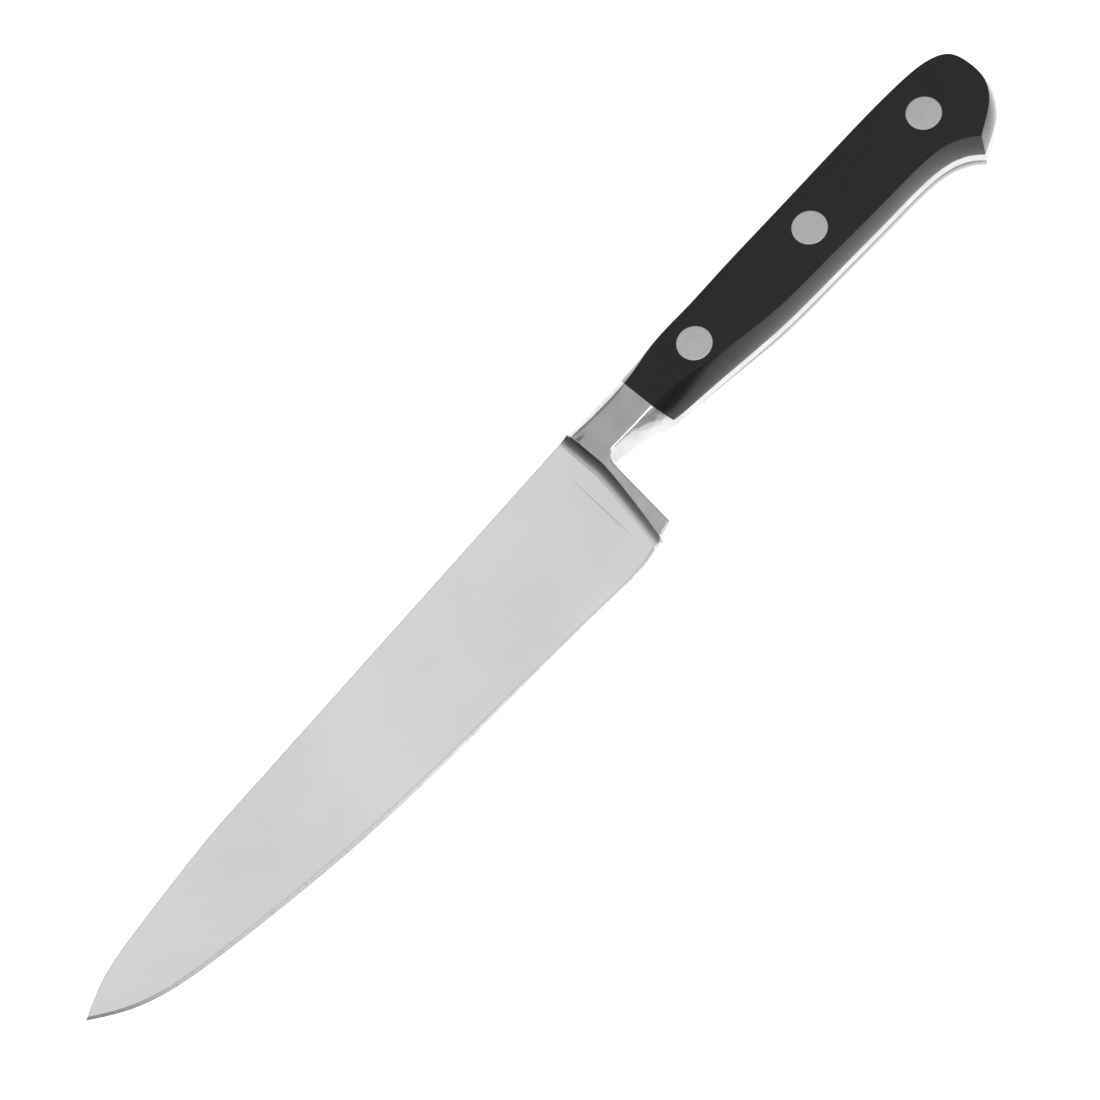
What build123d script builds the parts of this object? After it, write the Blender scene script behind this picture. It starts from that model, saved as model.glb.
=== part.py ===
"""Forged kitchen knife with a full tang, two handle scales and three press rivets.

Millimetres. The knife lies on its right side: +X runs towards the tip, +Y towards
the cutting edge and +Z up out of the left side. It is drawn with its zero at the
spine, where the blade leaves the bolster, and moved at the end, so that the origin
is at the centre of its footprint, level with the face that it rests on.
"""
from build123d import *
import math
import os

# blade
blade_reach = 152.7        # shoulder at the spine to the tip
blade_height = 31.1        # spine to edge, at its deepest near the heel
straight_share = 0.688     # share of the reach along which the spine is straight
tip_drop = 6.8             # tip below the line of the spine
spine_thickness = 2.4      # at the shoulder
tip_thickness = 0.6        # spine thickness at the tip
edge_thickness = 0.5       # blade where the ground edge begins, near the heel
edge_land = 0.14           # thickness left on the very edge
edge_bevel = 0.6           # height of the ground edge, near the heel
# spine in front of its straight part: (share of the reach, share of the tip's drop)
spine_stations = ((0.856, 0.24), (0.961, 0.63))
spine_end = (0.75, 0.6)    # direction of the spine at the tip
# cutting edge, tip to heel: (share of the reach, share of the height)
edge_stations = ((0.948, 0.402), (0.810, 0.620), (0.600, 0.797), (0.339, 0.918),
                 (0.123, 0.995), (0.064, 1.0))

# bolster
bolster_thickness = 8.2    # at the shoulder
heel_thickness = 3.8       # foot of the heel return
shoulder_start = 0.3       # front of the shoulder, at the spine
heel_forward = 5.1         # heel of the edge in front of the zero
heel_rise = 0.9            # heel of the edge above the edge's deepest point
foot_width = 4.4           # foot of the return, back from the heel
foot_rise = 0.95           # back of the foot above the heel
foot_margin = 0.2          # shoulder at the foot, back from the heel
cove_width = 2.2           # hollow between the bolster and the blade
cove_shape = (0.28, 0.26)  # middle of the hollow, as shares of its width and depth
corner = Vector(-1.2, 11.0)    # inner corner of neck and return, before rounding
corner_radius = 2.0
# how the shoulder rounds off at the spine: (below it, share of its half thickness)
shoulder_rows = ((-0.5, 0.3), (1.0, 0.55), (2.0, 0.78), (4.0, 1.0))
# how it runs down the return: (below the spine, forward of its start there)
return_rows = ((11.0, 0.2), (15.0, 0.85), (20.0, 1.9), (25.5, 3.15))

# handle, drawn along its rivet line
handle_droop = 3.2         # degrees that the rivet line drops below the spine line
handle_thickness = 14.4    # over both scales
tang_thickness = 2.8
neck_length = 16.2         # zero to the front of the scales, at the tang
joint_draft = 15.0         # degrees that the back of the bolster leans
axis_depth = 8.8           # rivet line below the spine line, at the scale front
handle_length = 97.1       # scale front to the end of the butt
side_flat_start = 10.0     # the flat sides of the scales begin this far back
side_curve = 66.0          # radius that narrows the sides towards the neck

# rivets
rivet_front = 14.0         # scale front to the first rivet
rivet_back = 15.5          # last rivet to the end of the butt
rivet_names = ("front", "middle", "rear")
head_diameter = 7.5
head_height = 2.0
sleeve_diameter = 5.0
pin_diameter = 3.2
tang_hole_clearance = 0.2
scale_hole_clearance = 0.1
sleeve_end_gap = 0.5       # the sleeve stops this far short of the pin's head

# grip outline along the rivet line, on the middle plane, and how far the crown has
# rounded it in by the time it reaches the flat sides:
# (share of the handle's length, top, its crown, belly, its crown)
grip_stations = (
    (0.07, -7.95, 1.8, 7.25, 3.6),
    (0.18, -8.15, 1.45, 8.05, 2.3),
    (0.30, -8.50, 1.3, 8.95, 1.6),
    (0.46, -9.05, 1.35, 9.10, 1.45),
    (0.66, -9.75, 1.4, 8.95, 1.3),
)
# the same along the neck, from the shoulder back to the scale front
neck_stations = (
    (1.00, -7.95, 8.2, 2.6, 1.8),
    (0.72, -7.90, 6.9, 3.2, 2.6),
    (0.36, -7.88, 5.1, 4.9, 4.2),
    (0.00, -7.88, 3.4, 6.6, 4.9),
)
# round butt, from the top line down to the beak: (forward of its end, height)
butt_stations = ((11.8, -9.6), (6.2, -8.8), (1.3, -5.9), (0.0, -1.4), (0.6, 4.4),
                 (4.0, 9.2), (9.5, 12.55))
beak = Vector(-handle_length + 12.4, 13.9)
# hollow underside behind the beak: (in front of the beak, above it)
throat_stations = ((2.3, 2.15), (6.6, 4.15), (11.8, 4.9))
crown_levels = (0.0, 0.4, 0.75, 1.0)    # shares of the half thickness
butt_middle = Vector(-handle_length + 10.9, 1.0)
butt_crown = 1.2
beak_crown = Vector(-0.85, -1.4)
throat_crown = 0.1

# what the shapes share
neck_overlap = 1.5         # the neck runs this far forward into the bolster
root = -3.6                # blade and bolster run this far back into the neck
root_depth = 3.0           # their top there, below the spine line
buried = 2.0               # the blade's hidden back stays this far inside the bolster
over = 1.0                 # how far a cutting shape reaches past what it cuts
reach_across = 2 * blade_height    # more than any part's distance from the spine line

rivet_pitch = (handle_length - rivet_front - rivet_back) / (len(rivet_names) - 1)
half_grip = handle_thickness / 2
half_tang = tang_thickness / 2
half_spine = spine_thickness / 2
half_edge = edge_thickness / 2
tip = Vector(blade_reach, tip_drop)
heel = Vector(heel_forward, blade_height - heel_rise)
foot = Vector(heel.X - foot_width, heel.Y - foot_rise)


def on_handle(shape):
    """Turn and move a shape drawn along the rivet line to where the handle is."""
    return Location((-neck_length, axis_depth, 0), (0, 0, -handle_droop)) * shape


def both_sides(upper):
    """Add the mirror image below the middle plane."""
    return upper + mirror(upper, about=Plane.XY)


# ---------------------------------------------------------------- grip

def grip_outline(level):
    """Outline of neck and handle at a share of the half thickness."""
    z = level * half_grip
    rounding = level ** 2
    top, belly = [], []
    for share, top_v, top_crown, belly_v, belly_crown in neck_stations:
        x = share * (neck_length + neck_overlap)
        top.append((x, top_v + rounding * top_crown))
        belly.append((x, belly_v - rounding * belly_crown))
    for share, top_v, top_crown, belly_v, belly_crown in grip_stations:
        x = -share * handle_length
        top.append((x, top_v + rounding * top_crown))
        belly.append((x, belly_v - rounding * belly_crown))
    butt = []
    for forward, height in butt_stations:
        place = Vector(-handle_length + forward, height)
        butt.append(place + (butt_middle - place).normalized() * rounding * butt_crown)
    corner_in = beak + rounding * beak_crown
    throat = [(corner_in.X + forward, corner_in.Y - above + rounding * throat_crown)
              for forward, above in throat_stations]
    with BuildSketch(Plane.XY.offset(z)) as outline:
        with BuildLine():
            Spline(*top, *butt, corner_in)
            Spline(corner_in, *throat, *reversed(belly))
            Line(belly[0], top[0])
        make_face()
    return outline.sketch


def side_profile():
    """Half thickness of the grip seen from above: flat sides narrowing to the neck."""
    front = neck_length + neck_overlap + over
    bend = Vector(-side_flat_start, half_grip)
    turn = math.asin((side_flat_start + over) / side_curve)
    end = bend + Vector(side_curve * math.sin(turn), -side_curve * (1 - math.cos(turn)))
    neck_z = end.Y - math.tan(turn) * (front - end.X)
    back = -handle_length - over
    with BuildSketch(Plane.XZ) as profile:
        with BuildLine():
            Line((back, -half_grip), (back, half_grip))
            Line((back, half_grip), bend)
            TangentArc(bend, end, tangent=(1, 0))
            Line(end, (front, neck_z))
            Line((front, neck_z), (front, -half_grip))
            Line((front, -half_grip), (back, -half_grip))
        make_face()
    return extrude(profile.sketch, amount=reach_across, both=True)


def grip():
    """Neck and handle in one, crowned all round, lying where the handle is."""
    upper = loft([grip_outline(level) for level in crown_levels])
    upper = upper & side_profile()
    return on_handle(upper)


# ---------------------------------------------------------------- forging

def edge_line():
    """Points of the cutting edge, from the tip to the heel."""
    points = [Vector(blade_reach * along, blade_height * down) for along, down in edge_stations]
    return [tip, *points, heel]


def blade_outline():
    """Outline of the blade, running back under the bolster."""
    straight_end = Vector(blade_reach * straight_share, 0)
    drop = [Vector(blade_reach * along, tip_drop * down) for along, down in spine_stations]
    with BuildSketch() as outline:
        with BuildLine():
            Line((0, 0), straight_end)
            Spline(straight_end, *drop, tip, tangents=[(1, 0), spine_end])
            Spline(*edge_line())
            Polyline(heel, (foot.X + buried, foot.Y), (corner.X + buried, corner.Y + buried),
                     (root, corner.Y - buried), (root, root_depth), (0, 0))
        make_face()
    return outline.sketch


def flat_grind():
    """The two flat faces of the blade, closing from spine to edge and towards the tip."""
    low = blade_height + over
    sections = []
    for x, top_half in ((root, half_spine), (blade_reach + over, tip_thickness / 2)):
        with BuildSketch(Plane((x, 0, 0), x_dir=(0, 1, 0), z_dir=(1, 0, 0))) as section:
            with BuildLine():
                Polyline((-over, top_half), (low, half_edge), (low, -half_edge),
                         (-over, -top_half), close=True)
            make_face()
        sections.append(section.sketch)
    return loft(sections, ruled=True)


def ground_edge():
    """Upper half of the space between the two bevels that meet at the cutting edge."""
    slope = edge_bevel / (half_edge - edge_land / 2)
    ceiling = -blade_height
    levels = []
    for z in (0, half_spine):
        inset = slope * (z - edge_land / 2)
        points = [point - Vector(0, inset) for point in edge_line()]
        back = points[-1] - Vector(-root + heel.X, 0)
        with BuildSketch(Plane.XY.offset(z)) as level:
            with BuildLine():
                Spline(*points)
                Polyline(points[-1], back, (back.X, ceiling), (points[0].X, ceiling), points[0])
            make_face()
        levels.append(level.sketch)
    return loft(levels, ruled=True)


def blade():
    """Blade ground flat from spine to edge, with a small bevel at the edge itself."""
    flat = flat_grind() & extrude(blade_outline(), amount=half_spine)
    return both_sides(flat & ground_edge())


def bolster_section(y, side, shoulder, blade_half):
    """Upper half of the bolster cut across at one height, hollow towards the blade."""
    cove_end = shoulder + cove_width
    along, up = cove_shape
    hollow = (shoulder + along * cove_width, blade_half + up * (side - blade_half))
    with BuildSketch(Plane((0, y, 0), x_dir=(1, 0, 0), z_dir=(0, -1, 0))) as section:
        with BuildLine():
            Polyline((cove_end, blade_half), (cove_end, 0), (root, 0), (root, side),
                     (shoulder, side))
            ThreePointArc((shoulder, side), hollow, (cove_end, blade_half))
        make_face()
    return section.sketch


def bolster_outline():
    """Side view of the bolster: its back edge, inner corner and foot."""
    corner_start = Vector(root, corner.Y - 0.4)
    front = heel.X + cove_width
    with BuildSketch() as outline:
        with BuildLine():
            FilletPolyline(corner_start, corner, foot, radius=corner_radius)
            Polyline(foot, heel, (front, heel.Y), (front, 0), (0, 0), (root, root_depth),
                     corner_start)
        make_face()
    return outline.sketch


def bolster():
    """Full bolster: thick at the neck, thinning down the return to its foot."""
    side = bolster_thickness / 2
    rows = [(y, share * side, shoulder_start, half_spine) for y, share in shoulder_rows]
    end, blade_half = heel.Y + over, 0.8 * half_spine
    for y, forward in return_rows:
        down = (y - return_rows[0][0]) / (end - return_rows[0][0])
        rows.append((y, side + (heel_thickness / 2 - side) * down, shoulder_start + forward,
                     blade_half + (half_edge - blade_half) * down))
    rows.append((end, heel_thickness / 2, heel.X - foot_margin, half_edge))
    upper = loft([bolster_section(*row) for row in rows], ruled=True)
    return both_sides(upper & extrude(bolster_outline(), amount=half_grip))


def scale_space():
    """Everything on the left side of the tang, behind the leaning back of the bolster."""
    top = half_grip + over
    lean = math.tan(math.radians(joint_draft)) * (top - half_tang)
    far = -neck_length - handle_length - over
    with BuildSketch(Plane.XZ) as region:
        with BuildLine():
            Polyline((-neck_length, half_tang), (-neck_length + lean, top), (far, top),
                     (far, half_tang), close=True)
        make_face()
    return extrude(region.sketch, amount=reach_across, both=True)


def ahead_of_shoulder():
    """Everything in front of the bolster's shoulder."""
    size = 2 * reach_across
    return Pos(shoulder_start + size / 2, 0, 0) * Box(size, size, size)


def rivet_places():
    """Where the rivets stand, with the name of each."""
    for count, name in enumerate(rivet_names):
        yield name, on_handle(Location((-rivet_front - count * rivet_pitch, 0, 0)))


def upright(radius, low, high):
    """Round bar standing on Z between two heights."""
    return Pos(0, 0, (low + high) / 2) * Cylinder(radius, high - low)


def forging():
    space = scale_space()
    steel = both_sides(grip() - space - ahead_of_shoulder())
    steel = steel + bolster() + blade()
    hole = upright((sleeve_diameter + tang_hole_clearance) / 2, -half_grip, half_grip)
    for _, place in rivet_places():
        steel = steel - place * hole
    return steel


# ---------------------------------------------------------------- handle

def left_scale():
    scale = grip() & scale_space()
    shank = upright((sleeve_diameter + scale_hole_clearance) / 2, 0, half_grip + over)
    seat = upright(head_diameter / 2, half_grip - head_height, half_grip + over)
    for _, place in rivet_places():
        scale = scale - place * (shank + seat)
    return scale


def rivet_sleeve():
    """Tubular half of a press rivet, its head on the right side."""
    head = upright(head_diameter / 2, -half_grip, -half_grip + head_height)
    end = half_grip - head_height - sleeve_end_gap
    tube = upright(sleeve_diameter / 2, -half_grip, end)
    bore = upright(pin_diameter / 2, -end, end)
    return head + tube - bore


def rivet_pin():
    """Solid half of a press rivet, its head on the left side."""
    head = upright(head_diameter / 2, half_grip - head_height, half_grip)
    shank = upright(pin_diameter / 2, -half_grip + head_height + 2 * sleeve_end_gap, half_grip)
    return head + shank


def build():
    upper_scale = left_scale()
    parts = {
        "forged_blade": forging(),
        "left_scale": upper_scale,
        "right_scale": mirror(upper_scale, about=Plane.XY),
    }
    for name, place in rivet_places():
        parts[name + "_rivet_sleeve"] = place * rivet_sleeve()
        parts[name + "_rivet_pin"] = place * rivet_pin()
    box = Compound(children=[shape.solids()[0] for shape in parts.values()]).bounding_box()
    centre = box.center()
    settle = Pos(-centre.X, -centre.Y, -box.min.Z)
    os.makedirs("parts", exist_ok=True)
    for name, shape in parts.items():
        export_step(settle * shape, f"parts/{name}.step")
        print(name, len(shape.solids()), shape.is_valid, round(shape.volume, 1))
    print("moved by", settle.position, "size", box.size)


build()
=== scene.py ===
import math

import bmesh
import bpy
import numpy as np
from mathutils import Matrix, Vector


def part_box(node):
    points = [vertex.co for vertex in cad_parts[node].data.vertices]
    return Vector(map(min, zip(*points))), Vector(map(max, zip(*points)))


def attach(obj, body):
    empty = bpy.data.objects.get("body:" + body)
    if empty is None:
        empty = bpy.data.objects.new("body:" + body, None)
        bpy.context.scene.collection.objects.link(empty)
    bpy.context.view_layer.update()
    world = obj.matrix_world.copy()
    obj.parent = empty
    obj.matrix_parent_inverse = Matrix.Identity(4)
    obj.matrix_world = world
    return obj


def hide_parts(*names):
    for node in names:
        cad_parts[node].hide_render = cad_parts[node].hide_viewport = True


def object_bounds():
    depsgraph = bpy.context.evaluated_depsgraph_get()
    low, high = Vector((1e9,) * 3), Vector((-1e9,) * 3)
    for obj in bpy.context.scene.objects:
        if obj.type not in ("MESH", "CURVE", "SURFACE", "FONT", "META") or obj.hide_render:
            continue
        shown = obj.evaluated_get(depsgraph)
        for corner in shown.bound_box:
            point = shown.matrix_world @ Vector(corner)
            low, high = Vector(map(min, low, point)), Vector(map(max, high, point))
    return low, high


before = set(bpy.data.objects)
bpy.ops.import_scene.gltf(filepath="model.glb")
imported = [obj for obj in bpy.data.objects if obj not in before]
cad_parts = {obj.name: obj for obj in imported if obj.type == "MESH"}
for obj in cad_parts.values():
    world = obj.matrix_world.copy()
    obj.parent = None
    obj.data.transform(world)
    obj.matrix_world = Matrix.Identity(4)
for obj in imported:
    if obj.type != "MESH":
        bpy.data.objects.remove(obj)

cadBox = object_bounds()
mm = 0.001


# the rivets give the handle's line, and the blade follows from its front end
def middleOf(node):
    low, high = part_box(node)
    return (low + high) / 2 / mm


knife = {
    "rivetFront": 14.0,        # scale front to first rivet
    "handleDroop": math.radians(3.2),
    "neckLength": 16.2,        # zero point to scale front
    "axisDepth": 8.8,          # rivet line below the spine, at the scale front
    "halfGrip": 7.2,
    "halfTang": 1.4,
    "jointLean": math.radians(15.0),    # of the scales' front
}
rivetPins = ("front_rivet_pin", "middle_rivet_pin", "rear_rivet_pin")
frontRivet, rearRivet = middleOf(rivetPins[0]), middleOf(rivetPins[-1])
handleDir = (frontRivet - rearRivet).xy.normalized()
handleDown = Vector((-handleDir.y, handleDir.x))
scaleFront = frontRivet.xy + handleDir * knife["rivetFront"]
zero = Vector((scaleFront.x + knife["neckLength"], scaleFront.y - knife["axisDepth"],
               knife["halfGrip"]))
print("zero point", [round(c, 3) for c in zero])


def place(x, y, z):
    # knife millimetres, zero at the spine where blade meets bolster, to scene metres
    return (Vector((x, y, z)) + zero) * mm


def onHandle(along, down):
    # handle millimetres, along the rivet line from the scale front
    flat = scaleFront + handleDir * along + handleDown * down
    return flat.x - zero.x, flat.y - zero.y


cameraSpot = {
    "at": (114.03, 266.26, 686.72),
    "right": (-0.66149, 0.72852, -0.17800),
    "down": (0.73915, 0.59320, -0.31900),
    "lens": 118.9,
    "sensor": 36.0,
    "farthest": 10.0,
}


def addCamera():
    data = bpy.data.cameras.new("camera")
    data.lens = cameraSpot["lens"]
    data.sensor_width = cameraSpot["sensor"]
    data.clip_end = cameraSpot["farthest"]
    camera = bpy.data.objects.new("camera", data)
    bpy.context.scene.collection.objects.link(camera)
    right = Vector(cameraSpot["right"]).normalized()
    up = -Vector(cameraSpot["down"])
    up = (up - right * up.dot(right)).normalized()
    back = right.cross(up)
    turn = Matrix((right, up, back)).transposed().to_4x4()
    camera.matrix_world = Matrix.Translation(place(*cameraSpot["at"])) @ turn
    bpy.context.scene.camera = camera


addCamera()
print("camera placed")


def startMaterial(name):
    material = bpy.data.materials.new(name)
    material.use_nodes = True
    nodes = material.node_tree.nodes
    links = material.node_tree.links
    shader = nodes["Principled BSDF"]
    return material, nodes, links, shader


def addNode(nodes, kind, **settings):
    made = nodes.new(kind)
    for key, value in settings.items():
        setattr(made, key, value)
    return made


def curveThrough(points, knots):
    # natural cubic through the points, all columns at once, as a function of the knot value
    points = np.array(points, float)
    step = np.diff(knots)
    count = len(knots)
    matrix = np.eye(count)
    right = np.zeros_like(points)
    for i in range(1, count - 1):
        matrix[i, i - 1:i + 2] = step[i - 1], 2 * (step[i - 1] + step[i]), step[i]
        after = (points[i + 1] - points[i]) / step[i]
        before = (points[i] - points[i - 1]) / step[i - 1]
        right[i] = 6 * (after - before)
    bend = np.linalg.solve(matrix, right)

    def at(value):
        i = np.clip(np.searchsorted(knots, value) - 1, 0, count - 2)
        a = ((knots[i + 1] - value) / step[i])[:, None]
        b = 1 - a
        h = (step[i] ** 2 / 6)[:, None]
        return (a * points[i] + b * points[i + 1]
                + ((a ** 3 - a) * bend[i] + (b ** 3 - b) * bend[i + 1]) * h)
    return at


def runAlong(points):
    gaps = np.linalg.norm(np.diff(np.array(points, float), axis=0), axis=1)
    return np.concatenate(([0], np.cumsum(gaps)))


def addMesh(name, vertices, faces, material):
    mesh = bpy.data.meshes.new(name)
    mesh.from_pydata([tuple(v) for v in vertices], [], faces)
    mesh.materials.append(material)
    piece = bpy.data.objects.new(name, mesh)
    bpy.context.scene.collection.objects.link(piece)
    return piece


def faceOutwards(piece):
    build = bmesh.new()
    build.from_mesh(piece.data)
    bmesh.ops.remove_doubles(build, verts=build.verts, dist=1e-7)
    bmesh.ops.recalc_face_normals(build, faces=build.faces)
    build.to_mesh(piece.data)
    build.free()


def shadeSmooth(piece, angle):
    mesh = piece.data
    mesh.shade_smooth()
    mesh.set_sharp_from_angle(angle=math.radians(angle))


def bakeModifiers(piece):
    # turns the evaluated object into its plain mesh
    bpy.context.view_layer.update()
    graph = bpy.context.evaluated_depsgraph_get()
    mesh = bpy.data.meshes.new_from_object(piece.evaluated_get(graph))
    piece.modifiers.clear()
    piece.data = mesh
    return piece


# grip outline, shared by the scales and the tang
grip = {
    "length": 97.1,
    "flatStart": 10.0,          # sides are flat behind this
    "sideCurve": 66.0,
    "arcPast": 1.0,             # the sides' arc ends this far in front of the scales
    "arcLimit": 0.9,
    # along from the scale front, top, its crown, belly, its crown
    "neck": ((17.7, -7.95, 8.2, 2.6, 1.8), (12.744, -7.9, 6.9, 3.2, 2.6),
             (6.372, -7.88, 5.1, 4.9, 4.2), (0.0, -7.88, 3.4, 6.6, 4.9)),
    "handle": ((0.07, -7.95, 1.8, 7.25, 3.6), (0.18, -8.15, 1.45, 8.05, 2.3),
               (0.30, -8.5, 1.3, 8.95, 1.6), (0.46, -9.05, 1.35, 9.1, 1.45),
               (0.66, -9.75, 1.4, 8.95, 1.3)),
    "butt": ((11.8, -9.6), (6.2, -8.8), (1.3, -5.9), (0.02, -1.4), (0.6, 4.4), (4.0, 9.2),
             (9.5, 12.55)),
    "buttMiddle": (10.9, 1.0),
    "buttCrown": 1.2,
    "beak": (12.4, 13.9),
    "beakCrown": (-0.85, -1.4),
    "throat": ((2.3, 2.15), (6.6, 4.15), (11.8, 4.9)),
    "throatCrown": 0.1,
    "buttShare": 0.62,          # only behind this share of the length does a run turn back
    "samples": 1600,
}


def gripChains():
    # middle-plane outline and its crown as dense runs: top and butt, then throat and belly
    back = -grip["length"]
    top, topCrown, belly, bellyCrown = [], [], [], []
    stations = list(grip["neck"])
    stations += [(-share * grip["length"], *rest) for share, *rest in grip["handle"]]
    for along, topAt, topIn, bellyAt, bellyIn in stations:
        top.append((along, topAt))
        topCrown.append((0, topIn))
        belly.append((along, bellyAt))
        bellyCrown.append((0, -bellyIn))
    middle = Vector((back + grip["buttMiddle"][0], grip["buttMiddle"][1]))
    for forward, height in grip["butt"]:
        spot = Vector((back + forward, height))
        top.append(tuple(spot))
        topCrown.append(tuple((middle - spot).normalized() * grip["buttCrown"]))
    beak = (back + grip["beak"][0], grip["beak"][1])
    top.append(beak)
    topCrown.append(grip["beakCrown"])
    lower, lowerCrown = [beak], [grip["beakCrown"]]
    for forward, above in grip["throat"]:
        lower.append((beak[0] + forward, beak[1] - above))
        lowerCrown.append((grip["beakCrown"][0], grip["beakCrown"][1] + grip["throatCrown"]))
    lower += belly[::-1]
    lowerCrown += bellyCrown[::-1]
    chains = []
    for points, crown in ((top, topCrown), (lower, lowerCrown)):
        knots = runAlong(points)
        fine = np.linspace(0, knots[-1], grip["samples"])
        chains.append((curveThrough(points, knots)(fine), curveThrough(crown, knots)(fine)))
    return chains


topRun, bellyRun = gripChains()


def sideAt(along):
    # half thickness over the handle
    curve = grip["sideCurve"]
    turn = math.asin((grip["flatStart"] + grip["arcPast"]) / curve)
    gone = np.maximum(np.asarray(along, float) + grip["flatStart"], 0)
    arc = curve * (1 - np.sqrt(1 - np.minimum(gone / curve, grip["arcLimit"]) ** 2))
    end = curve * math.sin(turn)
    straight = curve * (1 - math.cos(turn)) + math.tan(turn) * (gone - end)
    return knife["halfGrip"] - np.where(gone < end, arc, straight)


def runAt(run, spot, level):
    # point of a run by its index value, crowned for a height given as a share of the half grip
    base, crown = run
    index = np.arange(len(base))
    out = [np.interp(spot, index, base[:, k]) + level ** 2 * np.interp(spot, index, crown[:, k])
           for k in (0, 1)]
    return np.array(out)


def indexAtAlong(run, along):
    # the run's index where it passes a distance along the handle, in front of the butt
    base = run[0]
    ahead = np.where(base[:, 0] > -grip["buttShare"] * grip["length"])[0]
    values, index = base[ahead, 0], ahead
    if values[0] > values[-1]:
        values, index = values[::-1], index[::-1]
    return np.interp(along, values, index)


def jointAlong(down, z):
    # where the leaning front of the scales is, for a height above the middle plane
    lean = math.tan(knife["jointLean"]) * (z - knife["halfTang"])
    sine, cosine = math.sin(knife["handleDroop"]), math.cos(knife["handleDroop"])
    return (lean - down * sine) / cosine


scaleSizes = {
    "frontColumns": 10,
    "backColumns": 120,
    "rows": 8,
    "capRows": 12,
    "topRound": (0.7, 1.7),    # at the neck, at the butt
    "bellyRound": 0.4,
    "seamRound": 0.07,
    "roundSegments": 5,
    "roundAngle": math.radians(22),     # edges flatter than this stay as they are
    "seamReach": 0.05,         # how near an edge lies to the tang, to the joint
    "jointReach": 0.02,
    "bellyStart": 2,           # edges lower than this are the belly's
    "bellyFade": 30,
    "beakShare": 0.8,
    "topFade": 60,
    "flatMargin": 0.5,
    "rowRounds": 5,            # rounds until the leaning front and the height agree
    "capRounds": 4,
    "holeRadius": 3.755,
    "holeSegments": 96,
    "holeDepth": 40,
    "sharpAngle": 30,
}


def scaleRing(run, w):
    # one row of a scale, from the leaning front to the beak; w is 0 at the tang, 1 outside
    halfTang, halfGrip = knife["halfTang"], knife["halfGrip"]
    down = run[0][int(indexAtAlong(run, 0.0)), 1]
    z = halfTang + w * (float(sideAt(0)) - halfTang)
    for _ in range(scaleSizes["rowRounds"]):
        along = jointAlong(down, z)
        spot = indexAtAlong(run, along)
        z = halfTang + w * (float(sideAt(along)) - halfTang)
        down = runAt(run, spot, z / halfGrip)[1]
    rear = -grip["flatStart"] - scaleSizes["flatMargin"]
    alongs = np.linspace(along, rear, scaleSizes["frontColumns"] + 1)[:-1]
    spots = [indexAtAlong(run, a) for a in alongs]
    end = 0 if run is bellyRun else len(run[0]) - 1
    spots += list(np.linspace(indexAtAlong(run, rear), end, scaleSizes["backColumns"]))
    row = []
    for spot in spots:
        base = runAt(run, spot, 0)
        height = halfTang + w * (float(sideAt(base[0])) - halfTang)
        point = runAt(run, spot, height / halfGrip)
        row.append((*onHandle(*point), height))
    return row


def buildScale(name, material, side):
    capRows, frontCount = scaleSizes["capRows"], scaleSizes["frontColumns"]
    vertices, faces, rings = [], [], []

    def addRow(points):
        start = len(vertices)
        vertices.extend(points)
        return list(range(start, len(vertices)))
    for w in np.linspace(0, 1, scaleSizes["rows"] + 1):
        rings.append(addRow(scaleRing(topRun, w)) + addRow(scaleRing(bellyRun, w)[::-1][1:]))
    for low, high in zip(rings, rings[1:]):
        for a in range(len(low) - 1):
            faces.append((low[a], low[a + 1], high[a + 1], high[a]))
    # curved front part of the outer side
    outer = rings[-1]
    columnsIn = []
    for a in range(frontCount + 1):
        first, last = outer[a], outer[-1 - a]
        column = [first]
        start, stop = Vector(vertices[first]), Vector(vertices[last])
        for k in range(1, capRows):
            spot = start.lerp(stop, k / capRows)
            flat = Vector((spot.x + zero.x, spot.y + zero.y)) - scaleFront
            along, down = flat.dot(handleDir), flat.dot(handleDown)
            if a == 0:
                for _ in range(scaleSizes["capRounds"]):
                    along = jointAlong(down, float(sideAt(along)))
            vertices.append((*onHandle(along, down), float(sideAt(along))))
            column.append(len(vertices) - 1)
        column.append(last)
        columnsIn.append(column)
    for left, right in zip(columnsIn, columnsIn[1:]):
        for k in range(capRows):
            faces.append((left[k], right[k], right[k + 1], left[k + 1]))
    # flat rest of the outer side, inner side and leaning front
    faces.append(columnsIn[-1][::-1] + outer[frontCount + 1:-1 - frontCount])
    faces.append(rings[0][::-1])
    faces.append([ring[0] for ring in rings] + columnsIn[0][1:-1]
                 + [ring[-1] for ring in rings[::-1]])
    shown = [place(x, y, side * z) for x, y, z in vertices]
    piece = addMesh(name, shown, faces, material)
    faceOutwards(piece)
    return piece


def roundEdges(piece, widths):
    # rounds each edge by what widths gives for it, in metres; 0 leaves it sharp
    mesh = piece.data
    weights = mesh.attributes.new("bevel_weight_edge", "FLOAT", "EDGE")
    build = bmesh.new()
    build.from_mesh(mesh)
    build.edges.ensure_lookup_table()
    values = [widths(edge) for edge in build.edges]
    build.free()
    largest = max(values)
    weights.data.foreach_set("value", [value / largest for value in values])
    bevel = piece.modifiers.new("rounding", "BEVEL")
    bevel.width = largest
    bevel.segments = scaleSizes["roundSegments"]
    bevel.limit_method = "WEIGHT"
    bevel.use_clamp_overlap = True
    bevel.harden_normals = False
    bevel.miter_outer = "MITER_SHARP"


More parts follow.
